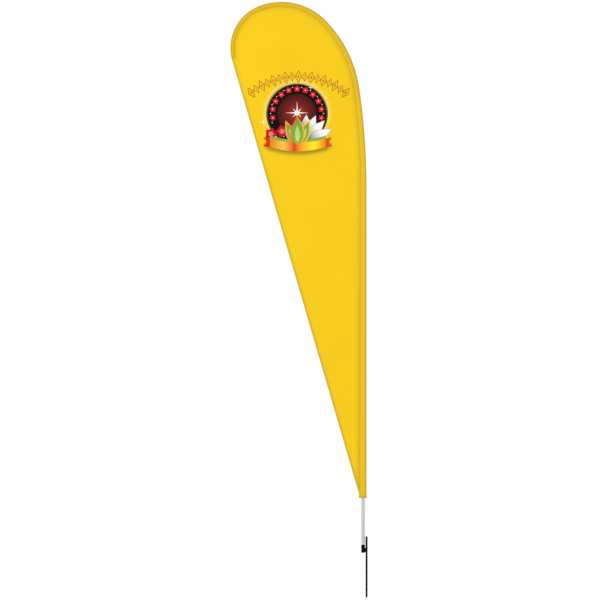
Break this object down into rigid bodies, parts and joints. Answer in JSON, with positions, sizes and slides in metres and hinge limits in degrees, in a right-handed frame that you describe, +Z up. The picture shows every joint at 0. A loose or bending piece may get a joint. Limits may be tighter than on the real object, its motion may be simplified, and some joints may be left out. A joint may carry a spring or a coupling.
{
  "type": "teardrop flag",
  "caption": "Teardrop-shaped fabric flag on a bent sectional pole that turns on a bearing spindle beside a ground stake.",
  "frame": {"origin": "on the ground stake's axis at the ground line, the upper edge of the buried shank", "axes": "+Z up along the stake and the pole; the pole stands at -X of the stake and the flag reaches out towards -X at rest; Y is the flag's thickness"},
  "size_m": [0.9808, 0.0344, 4.2608],
  "materials": {
    "stake_steel": "black satin coating",
    "black_plastic": "moulded satin",
    "bearing_steel": "polished",
    "zinc_steel": "zinc plated",
    "spindle_aluminium": "turned",
    "pole_aluminium": "satin drawn tube",
    "glass_fibre": "drawn glass-fibre rod",
    "cage_nylon": "moulded nylon",
    "o_ring_rubber": "smooth",
    "flag_cloth": "printed knitted polyester",
    "sleeve_cloth": "woven polyester",
    "webbing": "woven polypropylene"
  },
  "bodies": {
    "stake": {"stake_rod": "stake_steel", "stake_lug": "stake_steel", "spindle_hub": "stake_steel", "hub_collar": "black_plastic", "hub_end_cap": "black_plastic", "hub_screw": "zinc_steel", "spindle_pin": "zinc_steel", "bearing_spacer": "zinc_steel", "top_washer": "zinc_steel", "top_nut": "zinc_steel", "lower_bearing_inner_ring": "bearing_steel", "upper_bearing_inner_ring": "bearing_steel"},
    "bearing_cages": {"lower_bearing_cage": "cage_nylon", "upper_bearing_cage": "cage_nylon", "lower_bearing_balls": "bearing_steel", "upper_bearing_balls": "bearing_steel"},
    "spindle": {"spindle_sleeve": "spindle_aluminium", "lower_bearing_outer_ring": "bearing_steel", "upper_bearing_outer_ring": "bearing_steel", "lower_bearing_shields": "zinc_steel", "upper_bearing_shields": "zinc_steel", "spindle_o_rings": "o_ring_rubber", "spindle_top_cap": "black_plastic"},
    "pole_and_flag": {"lower_pole": "pole_aluminium", "reducer_bush": "black_plastic", "second_pole": "glass_fibre", "second_pole_band": "zinc_steel", "third_stop_collar": "black_plastic", "third_pole": "glass_fibre", "third_pole_band": "zinc_steel", "tip_stop_collar": "black_plastic", "tip_pole": "glass_fibre", "pole_tip_cap": "black_plastic", "strap_peg": "zinc_steel", "flag_panel": "flag_cloth", "pole_sleeve": "sleeve_cloth", "mouth_hem": "sleeve_cloth", "edge_hem": "flag_cloth", "tip_pocket": "sleeve_cloth", "tension_strap": "webbing", "strap_grommet": "zinc_steel"}
  },
  "joints": [
    {"name": "spindle_spin", "type": "hinge", "parent": "stake", "child": "spindle", "pos_m": [-0.0245, 0, 0], "axis": [0, 0, 1], "continuous": true},
    {"name": "cage_spin", "type": "hinge", "parent": "stake", "child": "bearing_cages", "pos_m": [-0.0245, 0, 0], "axis": [0, 0, 1], "continuous": true},
    {"name": "pole_lift", "type": "slide", "parent": "spindle", "child": "pole_and_flag", "axis": [0, 0, 1], "range_m": [0, 0.25]}
  ],
  "couplings": [
    {"joint": "cage_spin", "follows": "spindle_spin", "ratio": 0.5821}
  ]
}
